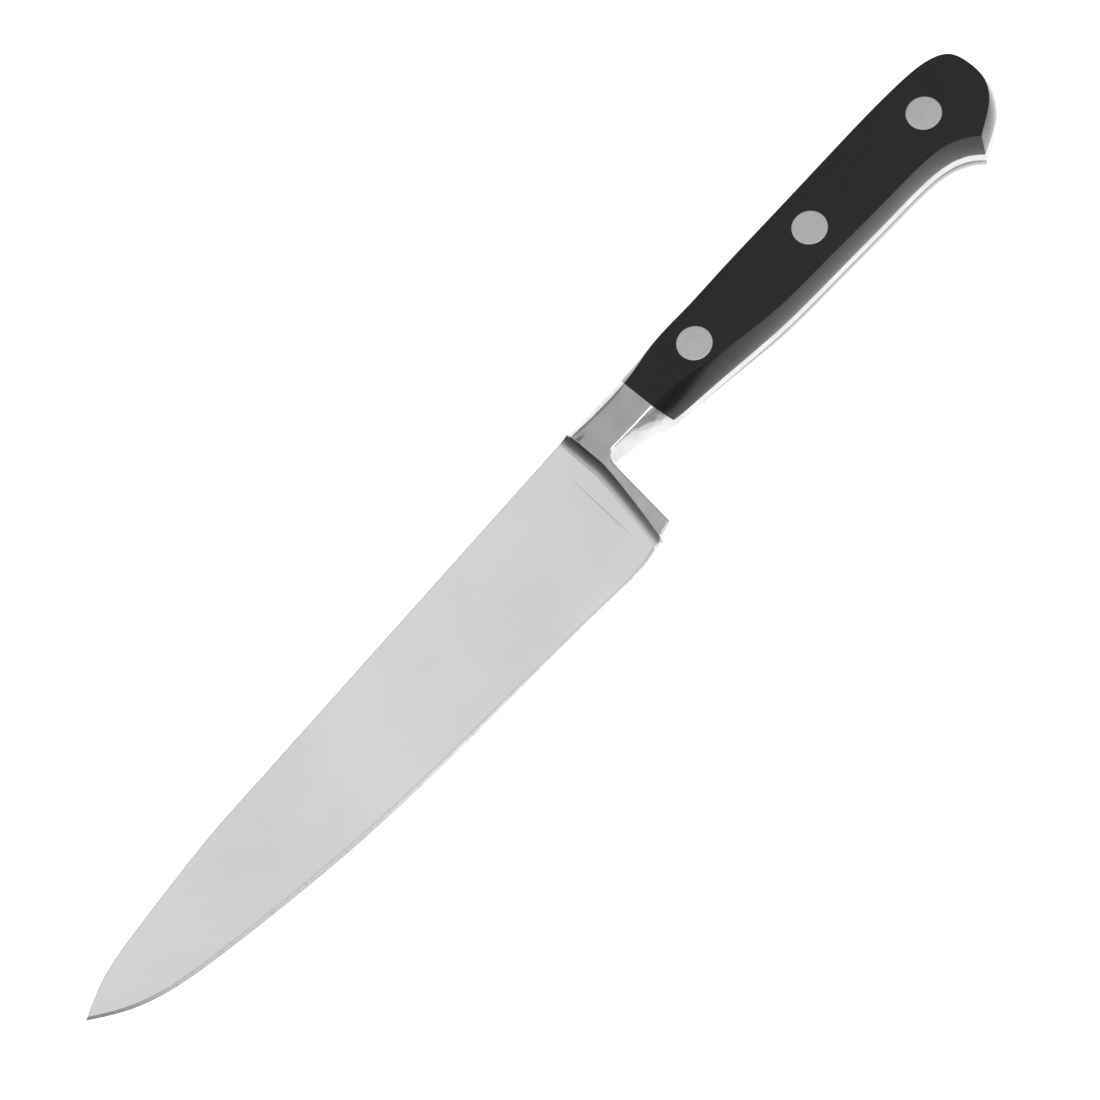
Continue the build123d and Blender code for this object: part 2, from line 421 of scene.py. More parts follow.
def scaleRounding(edge):
    # the top ridge is crisp at the neck and soft at the butt, seams are barely broken
    if len(edge.link_faces) != 2 or edge.calc_face_angle(0) < scaleSizes["roundAngle"]:
        return 0
    seam = scaleSizes["seamRound"] * mm
    ends = []
    for vertex in edge.verts:
        spot = vertex.co / mm
        flat = spot.xy - scaleFront
        ends.append((flat.dot(handleDir), flat.dot(handleDown), abs(spot.z - zero.z)))
    if all(height < knife["halfTang"] + scaleSizes["seamReach"] for _, _, height in ends):
        return seam
    if all(abs(along - jointAlong(down, height)) < scaleSizes["jointReach"]
           for along, down, height in ends):
        return seam
    along, down, _ = ends[0]
    soft = min(max((along + scaleSizes["bellyFade"]) / scaleSizes["bellyFade"], 0), 1)
    beakSide = along < -scaleSizes["beakShare"] * grip["length"] and down > 0
    if down > scaleSizes["bellyStart"] or beakSide:
        return scaleSizes["bellyRound"] * mm * (1 + soft)
    neckRound, buttRound = scaleSizes["topRound"]
    return (neckRound + (buttRound - neckRound) * min(-along / scaleSizes["topFade"], 1)) * mm


def cutRivetHoles(piece):
    # bores the three rivet seats right through
    build = bmesh.new()
    radius = scaleSizes["holeRadius"] * mm
    for node in rivetPins:
        spot = middleOf(node)
        ring = bmesh.ops.create_cone(build, cap_ends=True, segments=scaleSizes["holeSegments"],
                                     radius1=radius, radius2=radius,
                                     depth=scaleSizes["holeDepth"] * mm)
        bmesh.ops.translate(build, verts=ring["verts"],
                            vec=(spot.x * mm, spot.y * mm, zero.z * mm))
    mesh = bpy.data.meshes.new("rivetBores")
    build.to_mesh(mesh)
    build.free()
    bores = bpy.data.objects.new("rivetBores", mesh)
    bpy.context.scene.collection.objects.link(bores)
    cut = piece.modifiers.new("bores", "BOOLEAN")
    cut.object = bores
    cut.operation = "DIFFERENCE"
    cut.solver = "EXACT"
    bakeModifiers(piece)
    bpy.data.objects.remove(bores)
    bpy.data.meshes.remove(mesh)


tang = {
    "start": -1.0,             # the bolster's own piece runs this far behind the scale front
    "spare": 0.01,
    "levels": (-1, -0.93, -0.5, 0, 0.5, 0.93, 1),
    "inset": 0.05,             # how far its two sharp edges are drawn in
    "insetReach": 80,
    "columns": 170,
    "sharpAngle": 35,
}


def buildTang(material):
    # steel strip between the scales, seen all round the handle
    half = knife["halfTang"] - tang["spare"]
    vertices, faces, rings = [], [], []
    for level in tang["levels"]:
        z = level * half
        inset = tang["inset"] if abs(level) == 1 else 0
        ring = []
        for run in (topRun, bellyRun):
            front = indexAtAlong(run, tang["start"])
            end = len(run[0]) - 1 if run is topRun else 0
            spots = np.linspace(front, end, tang["columns"])
            if run is bellyRun:
                spots = spots[::-1][1:]
            ring += [Vector(runAt(run, spot, z / knife["halfGrip"])) for spot in spots]
        row = []
        for point in ring:
            near = Vector((min(max(point.x, -tang["insetReach"]), 0), 0))
            point = point + (near - point).normalized() * inset
            vertices.append(place(*onHandle(*point), z))
            row.append(len(vertices) - 1)
        rings.append(row)
    for low, high in zip(rings, rings[1:]):
        for a in range(len(low)):
            b = (a + 1) % len(low)
            faces.append((low[a], low[b], high[b], high[a]))
    faces.append(rings[0][::-1])
    faces.append(rings[-1])
    piece = addMesh("tang", vertices, faces, material)
    faceOutwards(piece)
    shadeSmooth(piece, tang["sharpAngle"])
    return piece


blade = {
    "reach": 152.7,
    "height": 31.1,
    "straight": 0.688,
    "tipDrop": 6.8,
    "spine": ((0.856, 0.24), (0.961, 0.63)),
    "edge": ((0.948, 0.402), (0.81, 0.62), (0.6, 0.797), (0.339, 0.918), (0.123, 0.995),
             (0.064, 1.0)),
    "heel": (5.1, 30.2),
    "halfSpine": 1.2,
    "halfTip": 0.3,
    "halfEdge": 0.25,
    "halfLand": 0.07,
    "bevelSlope": 3.33,
    "root": -3.6,
    "spineRound": 0.3,
    "start": 1.6,              # hidden in the bolster from here
    "hiddenSlope": 0.667,      # lower side of what is hidden there
    "columns": 260,
    "rows": 40,
    "crowding": 1.35,          # brings the sections closer towards the tip
    "spineGuide": 0.9,         # an extra point keeps the straight part straight
    "spineCurve": 90,          # the spine is straight up to here
    "samples": 3000,
    "edgeSpare": 0.005,        # stays inside the forging by this
    "grindMargin": 1,
    "roundShare": 0.25,
    "roundSteps": 5,
    "bevelGuess": 1,
    "bevelRounds": 4,
    "bevelRow": 0.1,           # an extra row this far above the edge's bevel
    "bevelRows": 3,
    "shade": (20, 70),         # painted shade darkens the ground edge from here, over this length
    "shadeFade": 0.8,
    "shadeStart": -0.05,
    "sharpAngle": 7,
}


def bladeEdges():
    # spine and cutting edge as dense tables of x and y
    reach, drop = blade["reach"], blade["tipDrop"]
    straight = blade["straight"] * reach
    spine = [(0, 0), (straight * blade["spineGuide"], 0), (straight, 0)]
    spine += [(reach * along, drop * down) for along, down in blade["spine"]] + [(reach, drop)]
    edge = [(reach, drop)]
    edge += [(reach * along, blade["height"] * down) for along, down in blade["edge"]]
    edge.append(blade["heel"])
    tables = []
    for points in (spine, edge):
        knots = runAlong(points)
        line = curveThrough(points, knots)(np.linspace(0, knots[-1], blade["samples"]))
        tables.append(line[np.argsort(line[:, 0])])
    return tables


spineTable, edgeTable = bladeEdges()


def spineAt(x):
    if x <= blade["spineCurve"]:
        return 0.0
    return float(max(np.interp(x, spineTable[:, 0], spineTable[:, 1]), 0))


def edgeAt(x):
    x = max(x, blade["heel"][0])
    deepest = cadBox[1][1] / mm - zero.y - blade["edgeSpare"]
    return min(float(np.interp(x, edgeTable[:, 0], edgeTable[:, 1])), deepest)


def flatHalf(x, y):
    # half thickness of the flat grind
    margin = blade["grindMargin"]
    far = blade["reach"] + margin
    share = (x - blade["root"]) / (far - blade["root"])
    top = blade["halfSpine"] + (blade["halfTip"] - blade["halfSpine"]) * share
    down = (y + margin) / (blade["height"] + 2 * margin)
    return top + (blade["halfEdge"] - top) * down


def groundHalf(x, y):
    # half thickness with the edge's bevel taken off
    return min(flatHalf(x, y), blade["halfLand"] + max(edgeAt(x) - y, 0) / blade["bevelSlope"])


def bladeSection(x):
    # (down, up) points of the left half, from the spine's middle round to the edge's middle
    top, low = spineAt(x), edgeAt(x)
    if x < blade["heel"][0]:
        low = blade["heel"][1] - (blade["heel"][0] - x) * blade["hiddenSlope"]
    deep = max(low - top, 1e-4)
    rounding = min(blade["spineRound"], blade["roundShare"] * deep)
    half = max(groundHalf(x, top + rounding), rounding)
    points = [(top, 0.0)]
    for k in range(blade["roundSteps"] + 1):
        turn = k * math.pi / (2 * blade["roundSteps"])
        points.append((top + rounding * (1 - math.cos(turn)),
                       half - rounding * (1 - math.sin(turn))))
    bevelTop = low - blade["bevelGuess"]
    for _ in range(blade["bevelRounds"]):
        bevelTop = low - blade["bevelSlope"] * (flatHalf(x, bevelTop) - blade["halfLand"])
    bevelTop = max(bevelTop, top + rounding + 0.02 * deep)
    above = max(bevelTop - blade["bevelRow"], top + rounding + 0.01 * deep)
    for k in range(1, blade["rows"] + 1):
        y = top + rounding + (above - top - rounding) * k / blade["rows"]
        points.append((y, min(groundHalf(x, y), half)))
    points.append((bevelTop, min(groundHalf(x, bevelTop), half)))
    for k in range(1, blade["bevelRows"] + 1):
        y = bevelTop + (low - bevelTop) * k / blade["bevelRows"]
        points.append((y, min(groundHalf(x, y), half)))
    points.append((low, 0.0))
    return points


def buildBlade(material):
    share = np.linspace(0, 1, blade["columns"])
    stretch = blade["reach"] - blade["start"]
    places = blade["start"] + stretch * (1 - (1 - share) ** blade["crowding"])
    vertices, faces, rings = [], [], []
    for x in places[:-1]:
        section = bladeSection(x)
        ring = [(x, y, z) for y, z in section] + [(x, y, -z) for y, z in section[-2:0:-1]]
        start = len(vertices)
        vertices += [place(*spot) for spot in ring]
        rings.append(list(range(start, len(vertices))))
    for low, high in zip(rings, rings[1:]):
        for a in range(len(low)):
            b = (a + 1) % len(low)
            faces.append((low[a], low[b], high[b], high[a]))
    vertices.append(place(blade["reach"], blade["tipDrop"], 0))
    tip = len(vertices) - 1
    last = rings[-1]
    faces += [(last[a], last[(a + 1) % len(last)], tip) for a in range(len(last))]
    faces.append(rings[0][::-1])
    piece = addMesh("blade", vertices, faces, material)
    faceOutwards(piece)
    shadeSmooth(piece, blade["sharpAngle"])
    # how much painted shade darkens the ground edge: most at its upper line and towards the tip
    ground = piece.data.attributes.new("ground", "FLOAT", "POINT")
    shades = []
    shadeFrom, shadeOver = blade["shade"]
    for vertex in piece.data.vertices:
        x, y, _ = vertex.co / mm - zero
        width = blade["bevelSlope"] * (flatHalf(x, y) - blade["halfLand"])
        down = (y - edgeAt(x)) / width + 1
        toTip = min(max((x - shadeFrom) / shadeOver, 0), 1)
        inside = x > blade["heel"][0] and down > blade["shadeStart"]
        shades.append(max(1 - blade["shadeFade"] * down * (1 - toTip), 0) if inside else 0)
    ground.data.foreach_set("value", shades)
    return piece


# the bolster comes from a copy of the forging with its edges ground soft
bolster = {
    "voxel": 0.15,
    "smoothing": 12,
    "smoothFactor": 0.5,
    "cutSpare": 0.6,           # cut off only after the smoothing
    "shoulder": ((0.3, 0.3, 0.5, 1.15, 2.2, 3.45, 4.9),     # along, at the depths below
                 (0.0, 4.0, 11.0, 15.0, 20.0, 25.5, 31.2)),
    "coveWidth": 2.2,
    "stub": 1.6,               # runs this far on under the blade's faces
    "sink": 0.1,
    "stubStart": 0.1,
    "stubFade": 0.8,
    "stubTop": 0.3,
    "stubEdge": 1.2,
    "heelMargin": 0.3,
    "ridgeBlur": 0.15,
    "footPale": 0.75,          # how much of the hollow's painted shade goes towards the foot
    "footStart": 0.2,
    "hollowEnd": -0.6,
    "hollowShadeTones": (0.15, 0.85, 0.03),  # painted shade at its end, added at the ridge, past its end
    "neckSmoothing": 25,
    "neckDepth": 6,
    "jointMargin": 0.8,        # no extra softening this close to the scales
    "ridgeMargin": 0.9,        # nor this close to the shoulder's ridge
}


def shoulderAt(y):
    along, depths = bolster["shoulder"]
    return float(np.interp(y, depths, along))


def softenNeck(build):
    # polishes the neck's long upper edges rounder than the ground shoulder
    chosen = []
    for vertex in build.verts:
        x, y, z = vertex.co / mm - zero
        flat = Vector((x + zero.x, y + zero.y)) - scaleFront
        clear = flat.dot(handleDir) - jointAlong(flat.dot(handleDown), abs(z))
        behind = x < shoulderAt(y) - bolster["ridgeMargin"]
        if clear > bolster["jointMargin"] and behind and y < bolster["neckDepth"]:
            chosen.append(vertex)
    for _ in range(bolster["neckSmoothing"]):
        bmesh.ops.smooth_vert(build, verts=chosen, factor=bolster["smoothFactor"],
                              use_axis_x=True, use_axis_y=True, use_axis_z=True)


def buildBolster(material):
    build = bmesh.new()
    build.from_mesh(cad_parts["forged_blade"].data)
    bmesh.ops.remove_doubles(build, verts=build.verts, dist=1e-6)
    along, depths = bolster["shoulder"]
    x0, x1, y0, y1 = along[0], along[-1], depths[0], depths[-1]
    reach = bolster["coveWidth"] + bolster["stub"]
    slant = Vector((y1 - y0, -(x1 - x0), 0)).normalized()
    cuts = ((place(x0 + reach, y0, 0), slant),
            ((scaleFront.x * mm + tang["start"] * mm, 0, 0), Vector((-1, 0, 0))))

    def cutAt(spot, outward):
        everything = build.verts[:] + build.edges[:] + build.faces[:]
        made = bmesh.ops.bisect_plane(build, geom=everything, plane_co=spot, plane_no=outward,
                                      clear_outer=True)
        edges = [item for item in made["geom_cut"] if isinstance(item, bmesh.types.BMEdge)]
        bmesh.ops.holes_fill(build, edges=edges)
    for spot, outward in cuts:
        spare = Vector(outward) * bolster["cutSpare"] * mm
        cutAt(Vector(spot) + spare, outward)
    mesh = bpy.data.meshes.new("bolster")
    build.to_mesh(mesh)
    build.free()
    mesh.materials.clear()
    mesh.materials.append(material)
    piece = bpy.data.objects.new("bolster", mesh)
    bpy.context.scene.collection.objects.link(piece)
    even = piece.modifiers.new("even", "REMESH")
    even.mode = "VOXEL"
    even.voxel_size = bolster["voxel"] * mm
    soft = piece.modifiers.new("soft", "SMOOTH")
    soft.factor = bolster["smoothFactor"]
    soft.iterations = bolster["smoothing"]
    bakeModifiers(piece)
    print("bolster faces", len(piece.data.polygons))
    build = bmesh.new()
    build.from_mesh(piece.data)
    heel, margin, fadeOver = blade["heel"][0], bolster["heelMargin"], bolster["stubFade"]
    for vertex in build.verts:
        x, y, z = vertex.co / mm - zero
        past = x - shoulderAt(y) - bolster["coveWidth"]
        if past > bolster["stubStart"]:
            sink = bolster["sink"] * min(past / fadeOver, 1)
            z = math.copysign(max(min(abs(z), flatHalf(x, y)) - sink, 0.01), z)
            y = max(y, sink + blade["spineRound"] * min(past, 1) * bolster["stubTop"])
            if x > heel - margin:
                lift = min(max(x - heel + margin, 0) / fadeOver, 1)
                y = min(y, edgeAt(x) - bolster["stubEdge"] * lift)
            vertex.co = place(x, y, z)
    for spot, outward in cuts:
        cutAt(Vector(spot), outward)
    softenNeck(build)
    build.to_mesh(piece.data)
    build.free()
    piece.data.shade_smooth()
    # painted shade in the hollow, also setting its roughness, by how deep each point lies: 1 at
    # the shoulder, 0 on the blade
    hollow = piece.data.attributes.new("hollow", "FLOAT", "POINT")
    tones = []
    atEnd, atRidge, pastEnd = bolster["hollowShadeTones"]
    for vertex in piece.data.vertices:
        x, y, _ = vertex.co / mm - zero
        past = (x - shoulderAt(y) + bolster["ridgeBlur"]) / bolster["ridgeBlur"]
        fade = 1 - (x - shoulderAt(y)) / bolster["coveWidth"]
        toFoot = min(max(y / blade["height"] - bolster["footStart"], 0), 1)
        pale = 1 - bolster["footPale"] * toFoot
        tone = min(max(min(past, (atEnd + atRidge * fade) * pale), 0), 1)
        tones.append(tone if fade > bolster["hollowEnd"] else pastEnd)
    hollow.data.foreach_set("value", tones)
    return piece


rivets = {
    "radius": 3.75,
    "dome": 0.03,
    "edge": 0.04,
    "depth": 1.6,
    "domeSteps": 8,
    "edgeSteps": 4,
    "segments": 72,
    "sharpAngle": 40,
}


def buildRivetHeads(material):
    # one head, set out by Geometry Nodes on the points of the six rivet ends
    ends = []
    for node in rivetPins:
        spot = middleOf(node)
        for side in (1, -1):
            ends.append((spot.x * mm, spot.y * mm, (zero.z + side * knife["halfGrip"]) * mm))
    mesh = bpy.data.meshes.new("rivetHeads")
    mesh.from_pydata(ends, [], [])
    piece = bpy.data.objects.new("rivetHeads", mesh)
    bpy.context.scene.collection.objects.link(piece)
    # profile turned round to one head, top at its own zero, pointing up
    radius, edge = rivets["radius"] * mm, rivets["edge"] * mm
    steps, count = rivets["domeSteps"], rivets["segments"]
    profile = [(radius * k / steps, -rivets["dome"] * mm * (k / steps) ** 2) for k in range(steps)]
    for k in range(rivets["edgeSteps"] + 1):
        bend = k * math.pi / (2 * rivets["edgeSteps"])
        profile.append((radius - edge * (1 - math.sin(bend)),
                        -rivets["dome"] * mm - edge * (1 - math.cos(bend))))
    profile.append((radius, -rivets["depth"] * mm))
    vertices, faces = [(0, 0, 0)], []
    for r, z in profile[1:]:
        for k in range(count):
            turn = 2 * math.pi * k / count
            vertices.append((r * math.cos(turn), r * math.sin(turn), z))
    for k in range(count):
        nextOne = (k + 1) % count
        faces.append((0, 1 + k, 1 + nextOne))
        for ring in range(len(profile) - 2):
            a, b = 1 + ring * count, 1 + (ring + 1) * count
            faces.append((a + k, b + k, b + nextOne, a + nextOne))
    last = 1 + (len(profile) - 2) * count
    faces.append([last + k for k in range(count)][::-1])
    head = addMesh("rivetHead", vertices, faces, material)
    shadeSmooth(head, rivets["sharpAngle"])

    tree = bpy.data.node_groups.new("rivetHeads", "GeometryNodeTree")
    tree.interface.new_socket("Geometry", in_out="INPUT", socket_type="NodeSocketGeometry")
    tree.interface.new_socket("Middle height", in_out="INPUT", socket_type="NodeSocketFloat")
    tree.interface.new_socket("Head", in_out="INPUT", socket_type="NodeSocketObject")
    tree.interface.new_socket("Metal", in_out="INPUT", socket_type="NodeSocketMaterial")
    tree.interface.new_socket("Geometry", in_out="OUTPUT", socket_type="NodeSocketGeometry")
    nodes, links = tree.nodes, tree.links
    given, result = nodes.new("NodeGroupInput"), nodes.new("NodeGroupOutput")
    position = nodes.new("GeometryNodeInputPosition")
    split = nodes.new("ShaderNodeSeparateXYZ")
    below = addNode(nodes, "ShaderNodeMath", operation="LESS_THAN")
    turn = addNode(nodes, "ShaderNodeMath", operation="MULTIPLY")
    turn.inputs[1].default_value = math.pi
    angles = nodes.new("ShaderNodeCombineXYZ")
    info = nodes.new("GeometryNodeObjectInfo")
    onPoints = nodes.new("GeometryNodeInstanceOnPoints")
    real = nodes.new("GeometryNodeRealizeInstances")
    paint = nodes.new("GeometryNodeSetMaterial")
    links.new(position.outputs["Position"], split.inputs["Vector"])
    links.new(split.outputs["Z"], below.inputs[0])
    links.new(given.outputs["Middle height"], below.inputs[1])
    links.new(below.outputs[0], turn.inputs[0])
    links.new(turn.outputs[0], angles.inputs["X"])
    links.new(given.outputs["Head"], info.inputs["Object"])
    links.new(given.outputs["Geometry"], onPoints.inputs["Points"])
    links.new(info.outputs["Geometry"], onPoints.inputs["Instance"])
    links.new(angles.outputs["Vector"], onPoints.inputs["Rotation"])
    links.new(onPoints.outputs["Instances"], real.inputs["Geometry"])
    links.new(real.outputs["Geometry"], paint.inputs["Geometry"])
    links.new(given.outputs["Metal"], paint.inputs["Material"])
    links.new(paint.outputs["Geometry"], result.inputs["Geometry"])
    setOut = piece.modifiers.new("heads", "NODES")
    setOut.node_group = tree
    inputs = {item.name: item.identifier for item in tree.interface.items_tree
              if item.in_out == "INPUT"}
    setOut[inputs["Middle height"]] = zero.z * mm
    setOut[inputs["Head"]] = head
    setOut[inputs["Metal"]] = material
    bakeModifiers(piece)
    bpy.data.objects.remove(head)
    return piece


def stretchedNoise(nodes, links, stretch, scale, detail, turn=0.0):
    # noise pulled out into grinding lines
    where = nodes.new("ShaderNodeTexCoord")
    lay = nodes.new("ShaderNodeMapping")
    lay.inputs["Rotation"].default_value = (0, 0, turn)
    lay.inputs["Scale"].default_value = stretch
    noise = nodes.new("ShaderNodeTexNoise")
    noise.inputs["Scale"].default_value = scale
    noise.inputs["Detail"].default_value = detail
    links.new(where.outputs["Object"], lay.inputs["Vector"])
    links.new(lay.outputs["Vector"], noise.inputs["Vector"])
    return noise.outputs["Fac"]


def ranged(nodes, links, value, low, high, inLow=0.3, inHigh=0.7):
    span = nodes.new("ShaderNodeMapRange")
    span.inputs["From Min"].default_value = inLow
    span.inputs["From Max"].default_value = inHigh
    span.inputs["To Min"].default_value = low
    span.inputs["To Max"].default_value = high
    links.new(value, span.inputs["Value"])
    return span.outputs["Result"]


def tinted(nodes, links, value, dark, light):
    ramp = nodes.new("ShaderNodeValToRGB")
    ramp.color_ramp.elements[0].color = (*dark, 1)
    ramp.color_ramp.elements[1].color = (*light, 1)
    links.new(value, ramp.inputs["Fac"])
    return ramp.outputs["Color"]


def addBump(nodes, links, shader, heights, strength, depth):
    # several height values, one bump on top of the other
    last = None
    for height, share in heights:
        bump = nodes.new("ShaderNodeBump")
        bump.inputs["Strength"].default_value = strength * share
        bump.inputs["Distance"].default_value = depth * mm
        links.new(height, bump.inputs["Height"])
        if last:
            links.new(last, bump.inputs["Normal"])
        last = bump.outputs["Normal"]
    links.new(last, shader.inputs["Normal"])


bladeFinish = {
    "dark": (0.88, 0.872, 0.86),
    "light": (0.97, 0.963, 0.952),
    "ground": (0.3, 0.297, 0.292),  # colour of the painted shade on the ground edge at its darkest, also used for the grinding stroke
    "rough": (0.26, 0.36),
    # stretch, scale, detail, turn of each noise
    "lines": ((4.0, 0.22, 1.0), 900.0, 3, 0.12),
    "clouds": ((1, 1, 1), 28, 3),
    "marks": ((2.2, 0.35, 1), 260, 2, -0.5),
    "marksShare": 0.12,
    "bump": (0.07, 0.02),
    "stroke": ((6.5, 6.5), (7.8, 26.0), 0.45, 0.5),     # from, to, width, strength
}


def strokeMask(nodes, links, start, stop, width, strength):
    # one faint grinding stroke along the blade's root, fading at both ends
    first, last = place(*start, 0), place(*stop, 0)
    line = last - first
    where = nodes.new("ShaderNodeTexCoord")
    offset = addNode(nodes, "ShaderNodeVectorMath", operation="SUBTRACT")
    offset.inputs[1].default_value = (first + last) / 2
    links.new(where.outputs["Object"], offset.inputs[0])
    masks = []
    across = Vector((line.y, -line.x, 0)).normalized()
    for direction, full, gone in ((across, 0, width / 2 * mm),
                                  (line.normalized(), line.length / 4, line.length / 2)):
        share = addNode(nodes, "ShaderNodeVectorMath", operation="DOT_PRODUCT")
        share.inputs[1].default_value = direction
        distance = addNode(nodes, "ShaderNodeMath", operation="ABSOLUTE")
        links.new(offset.outputs[0], share.inputs[0])
        links.new(share.outputs["Value"], distance.inputs[0])
        masks.append(ranged(nodes, links, distance.outputs[0], 1, 0, full, gone))
    both = addNode(nodes, "ShaderNodeMath", operation="MULTIPLY")
    faint = addNode(nodes, "ShaderNodeMath", operation="MULTIPLY")
    faint.inputs[1].default_value = strength
    links.new(masks[0], both.inputs[0])
    links.new(masks[1], both.inputs[1])
    links.new(both.outputs[0], faint.inputs[0])
    return faint.outputs[0]


def bladeSteel():
    material, nodes, links, shader = startMaterial("satinBladeSteel")
    lines = stretchedNoise(nodes, links, *bladeFinish["lines"])
    clouds = stretchedNoise(nodes, links, *bladeFinish["clouds"])
    marks = stretchedNoise(nodes, links, *bladeFinish["marks"])
    colour = tinted(nodes, links, ranged(nodes, links, clouds, 0, 1), bladeFinish["dark"],
                    bladeFinish["light"])
    # painted shade on the ground edge and the grinding stroke both mix towards the dark tone
    ground = addNode(nodes, "ShaderNodeAttribute", attribute_name="ground")
    scratch = strokeMask(nodes, links, *bladeFinish["stroke"])
    darkest = addNode(nodes, "ShaderNodeMath", operation="MAXIMUM")
    links.new(ground.outputs["Fac"], darkest.inputs[0])
    links.new(scratch, darkest.inputs[1])
    shade = addNode(nodes, "ShaderNodeMix", data_type="RGBA")
    shade.inputs["B"].default_value = (*bladeFinish["ground"], 1)
    links.new(darkest.outputs[0], shade.inputs["Factor"])
    links.new(colour, shade.inputs["A"])
    links.new(shade.outputs["Result"], shader.inputs["Base Color"])
    links.new(ranged(nodes, links, lines, *bladeFinish["rough"]), shader.inputs["Roughness"])
    shader.inputs["Metallic"].default_value = 1.0
    addBump(nodes, links, shader, ((lines, 1.0), (marks, bladeFinish["marksShare"])),
            *bladeFinish["bump"])
    return material


bolsterFinish = {
    "dark": (0.48, 0.476, 0.47),
    "light": (0.57, 0.565, 0.557),
    # tone stops of the hollow's painted shade, by its amount
    "hollow": ((0.0, 0.0), (0.02, 0.78), (0.15, 0.7), (0.5, 0.3), (1.0, 0.07)),
    "hollowRough": 0.62,
    "hollowStart": 0.02,
    "toneShift": (0.99, 0.975),     # a touch less green and blue
    "rough": (0.28, 0.4),
    "grain": ((1, 1, 1), 1100.0, 4),
    "lines": ((0.25, 2.5, 1), 900, 3),
    "clouds": ((1, 1, 1), 180, 3),
    "linesShare": 0.6,
    "bump": (0.42, 0.03),
}


def bolsterSteel():
    material, nodes, links, shader = startMaterial("groundBolsterSteel")
    grain = stretchedNoise(nodes, links, *bolsterFinish["grain"])
    lines = stretchedNoise(nodes, links, *bolsterFinish["lines"])
    clouds = stretchedNoise(nodes, links, *bolsterFinish["clouds"])
    colour = tinted(nodes, links, ranged(nodes, links, clouds, 0, 1), bolsterFinish["dark"],
                    bolsterFinish["light"])
    # painted shade in the hollow: dark beside the ridge, bright as the blade at its end
    depth = addNode(nodes, "ShaderNodeAttribute", attribute_name="hollow")
    tones = nodes.new("ShaderNodeValToRGB")
    stops = tones.color_ramp.elements
    for number, (position, tone) in enumerate(bolsterFinish["hollow"]):
        if number > 1:
            stops.new(position)
        stops[number].position = position
        stops[number].color = (tone, *(tone * shift for shift in bolsterFinish["toneShift"]), 1)
    inside = ranged(nodes, links, depth.outputs["Fac"], 0, 1, 0.0, bolsterFinish["hollowStart"])
    shade = addNode(nodes, "ShaderNodeMix", data_type="RGBA")
    links.new(depth.outputs["Fac"], tones.inputs["Fac"])
    links.new(inside, shade.inputs["Factor"])
    links.new(colour, shade.inputs["A"])
    links.new(tones.outputs["Color"], shade.inputs["B"])
    links.new(shade.outputs["Result"], shader.inputs["Base Color"])
    rough = addNode(nodes, "ShaderNodeMix", data_type="FLOAT")
    rough.inputs["B"].default_value = bolsterFinish["hollowRough"]
    links.new(inside, rough.inputs["Factor"])
    links.new(ranged(nodes, links, grain, *bolsterFinish["rough"]), rough.inputs["A"])
    links.new(rough.outputs["Result"], shader.inputs["Roughness"])
    shader.inputs["Metallic"].default_value = 1.0
    addBump(nodes, links, shader, ((grain, 1.0), (lines, bolsterFinish["linesShare"])),
            *bolsterFinish["bump"])
    return material


scaleFinish = {
    "dark": (0.0015, 0.0015, 0.0017),
    "light": (0.004, 0.004, 0.0043),
    "rough": (0.2, 0.3),
    "specular": 0.42,
    "sheen": 0.7,
    "sheenRough": 0.35,
    "grain": ((1, 1, 1), 2200, 3),
    "lines": ((0.2, 2.0, 1), 800, 3),
    "clouds": ((1, 1, 1), 90, 3),
    "share": 0.8,
    "bump": (0.1, 0.02),
}


def blackScale():
    material, nodes, links, shader = startMaterial("blackScale")
    grain = stretchedNoise(nodes, links, *scaleFinish["grain"])
    lines = stretchedNoise(nodes, links, *scaleFinish["lines"])
    clouds = stretchedNoise(nodes, links, *scaleFinish["clouds"])
    colour = tinted(nodes, links, ranged(nodes, links, clouds, 0, 1), scaleFinish["dark"],
                    scaleFinish["light"])
    links.new(colour, shader.inputs["Base Color"])
    links.new(ranged(nodes, links, grain, *scaleFinish["rough"]), shader.inputs["Roughness"])
    shader.inputs["Specular IOR Level"].default_value = scaleFinish["specular"]
    shader.inputs["Sheen Weight"].default_value = scaleFinish["sheen"]
    shader.inputs["Sheen Roughness"].default_value = scaleFinish["sheenRough"]
    share = scaleFinish["share"]
    addBump(nodes, links, shader, ((grain, share), (lines, share)), *scaleFinish["bump"])
    return material


rivetFinish = {
    "dark": (0.6, 0.598, 0.592),
    "light": (0.68, 0.677, 0.67),
    "rough": (0.3, 0.4),
    "lines": ((0.3, 3.0, 1), 1200, 3, 0.05),
    "grain": ((1, 1, 1), 1800, 2),
    "grainShare": 0.5,
    "bump": (0.2, 0.02),
}


def rivetMetal():
    material, nodes, links, shader = startMaterial("rivetMetal")
    lines = stretchedNoise(nodes, links, *rivetFinish["lines"])
    grain = stretchedNoise(nodes, links, *rivetFinish["grain"])
    colour = tinted(nodes, links, ranged(nodes, links, lines, 0, 1), rivetFinish["dark"],
                    rivetFinish["light"])
    links.new(colour, shader.inputs["Base Color"])
    links.new(ranged(nodes, links, grain, *rivetFinish["rough"]), shader.inputs["Roughness"])
    shader.inputs["Metallic"].default_value = 1.0
    addBump(nodes, links, shader, ((lines, 1.0), (grain, rivetFinish["grainShare"])),
            *rivetFinish["bump"])
    return material


